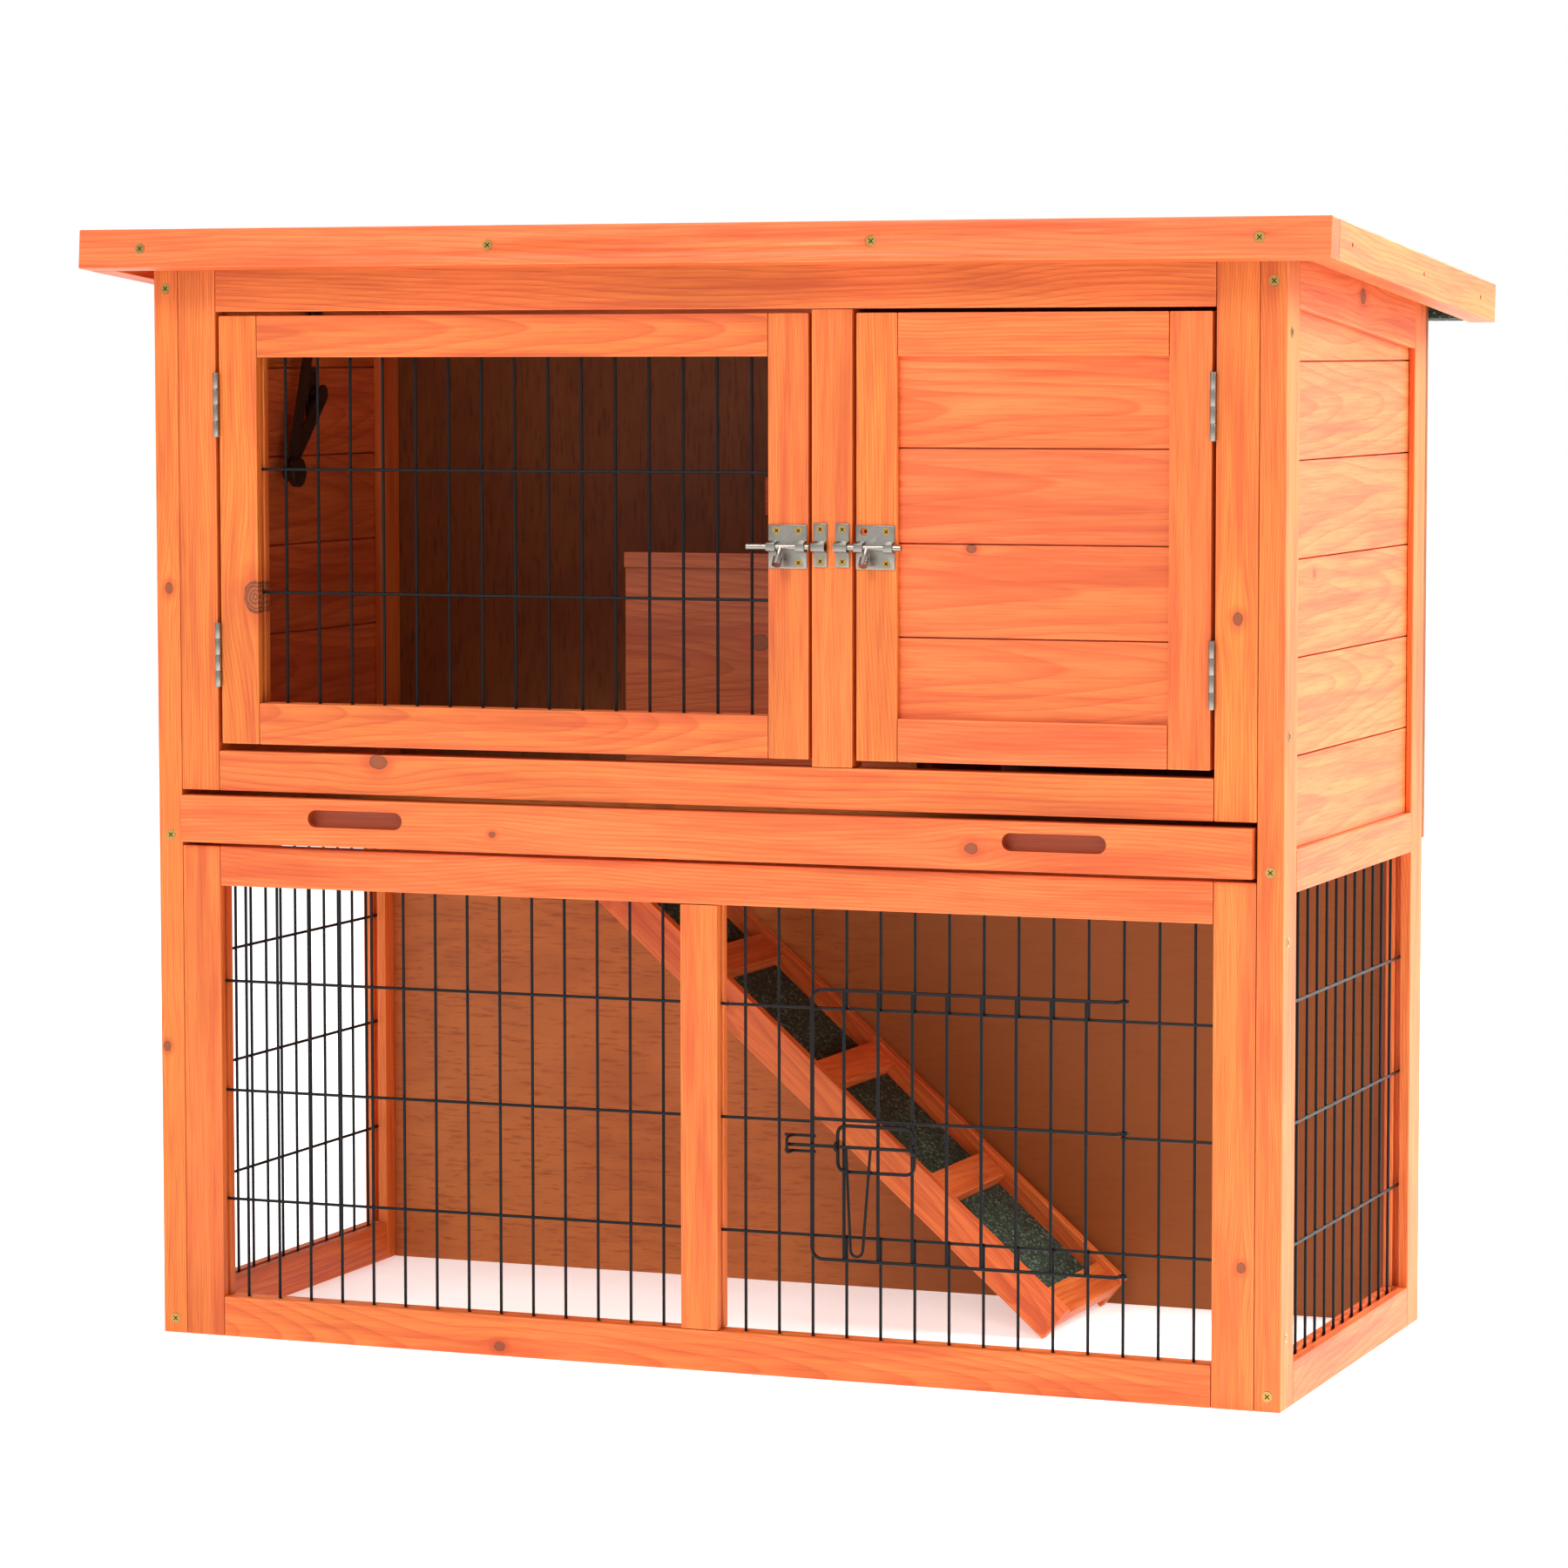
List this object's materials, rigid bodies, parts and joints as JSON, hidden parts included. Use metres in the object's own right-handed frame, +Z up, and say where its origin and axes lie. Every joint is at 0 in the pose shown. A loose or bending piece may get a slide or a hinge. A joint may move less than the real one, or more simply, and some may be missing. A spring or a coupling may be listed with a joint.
{
  "type": "rabbit hutch",
  "caption": "Two-storey stained fir rabbit hutch with hinged felt roof, mesh and boarded doors with barrel bolts, pull-out tray, mesh run, wire door and cleated ramp",
  "frame": {"origin": "on the ground, under the centre of the whole box", "axes": "+X to the hutch's right as seen from its front, +Y from the front to the back, +Z up; the front faces -Y"},
  "size_m": [0.92, 0.4606, 0.7989],
  "materials": {
    "fir": "stained softwood, satin",
    "plywood": "stained plywood, matt",
    "felt": "mineral-faced roofing felt, rough",
    "nickel": "nickel plated, satin",
    "zinc": "yellow zinc plated",
    "wire": "dark coated wire",
    "steel": "dark lacquered steel"
  },
  "bodies": {
    "body": {"left_posts": "fir", "left_rails": "fir", "left_slats": "fir", "left_mesh": "wire", "right_posts": "fir", "right_rails": "fir", "right_slats": "fir", "right_mesh": "wire", "back_upper_panel": "plywood", "back_lower_panel": "plywood", "back_rails": "fir", "upper_stiles": "fir", "upper_rails": "fir", "upper_mullion": "fir", "lower_stiles": "fir", "lower_rails": "fir", "lower_mullion": "fir", "lower_left_mesh": "wire", "lower_right_mesh": "wire", "bolt_keeps": "nickel", "frame_hinge_leaves": "nickel", "hinge_pins": "nickel", "stay_wall_bracket": "steel", "floor_panels": "plywood", "floor_beams": "fir", "stair_guard": "fir", "nest_divider": "plywood", "ramp_stringers": "fir", "ramp_base": "plywood", "ramp_cleats": "fir", "ramp_felt": "felt", "body_screws": "zinc"},
    "roof": {"roof_front_fascia": "fir", "roof_side_fascias": "fir", "roof_rear_rail": "fir", "roof_deck": "plywood", "roof_felt": "felt", "roof_hinge_leaves": "nickel", "stay_roof_bracket": "steel", "roof_screws": "zinc"},
    "left_door": {"left_door_stiles": "fir", "left_door_rails": "fir", "left_door_mesh": "wire", "left_bolt_plate": "nickel", "left_door_hinge_leaves": "nickel", "left_door_screws": "zinc"},
    "right_door": {"right_door_stiles": "fir", "right_door_rails": "fir", "right_door_slats": "fir", "right_bolt_plate": "nickel", "right_door_hinge_leaves": "nickel", "right_door_screws": "zinc"},
    "left_bolt": {"left_bolt": "nickel"},
    "right_bolt": {"right_bolt": "nickel"},
    "tray": {"tray_front": "fir", "tray_pan": "plywood"},
    "stay_lower": {"stay_lower_arm": "steel"},
    "stay_upper": {"stay_upper_arm": "steel"},
    "wire_door": {"wire_door": "wire"},
    "wire_latch": {"wire_latch": "wire"}
  },
  "joints": [
    {"name": "roof_hinge", "type": "hinge", "parent": "body", "child": "roof", "pos_m": [0, 0.19226, 0.7312], "axis": [-1, 0, 0], "range_deg": [0, 45]},
    {"name": "left_door_hinge", "type": "hinge", "parent": "body", "child": "left_door", "pos_m": [-0.36975, -0.19354, 0.584], "axis": [0, 0, -1], "range_deg": [0, 170]},
    {"name": "right_door_hinge", "type": "hinge", "parent": "body", "child": "right_door", "pos_m": [0.36975, -0.19354, 0.584], "axis": [0, 0, 1], "range_deg": [0, 170]},
    {"name": "left_bolt_slide", "type": "slide", "parent": "left_door", "child": "left_bolt", "axis": [1, 0, 0], "range_m": [0, 0.009]},
    {"name": "right_bolt_slide", "type": "slide", "parent": "right_door", "child": "right_bolt", "axis": [1, 0, 0], "range_m": [0, 0.009]},
    {"name": "tray_slide", "type": "slide", "parent": "body", "child": "tray", "axis": [0, -1, 0], "range_m": [0, 0.17]},
    {"name": "stay_lower_hinge", "type": "hinge", "parent": "body", "child": "stay_lower", "pos_m": [-0.3976, 0.04065, 0.68], "axis": [-1, 0, 0], "range_deg": [0, 108.3]},
    {"name": "stay_upper_hinge", "type": "hinge", "parent": "roof", "child": "stay_upper", "pos_m": [-0.3952, 0.02065, 0.741], "axis": [1, 0, 0], "range_deg": [0, 29.3]},
    {"name": "wire_door_hinge", "type": "hinge", "parent": "body", "child": "wire_door", "pos_m": [0.306, -0.18055, 0.178], "axis": [0, 0, 1], "range_deg": [0, 150]},
    {"name": "wire_latch_slide", "type": "slide", "parent": "wire_door", "child": "wire_latch", "axis": [1, 0, 0], "range_m": [0, 0.026]}
  ],
  "couplings": [
    {"joint": "stay_lower_hinge", "follows": "roof_hinge", "ratio": 2.3969},
    {"joint": "stay_upper_hinge", "follows": "roof_hinge", "ratio": 0.64178}
  ]
}
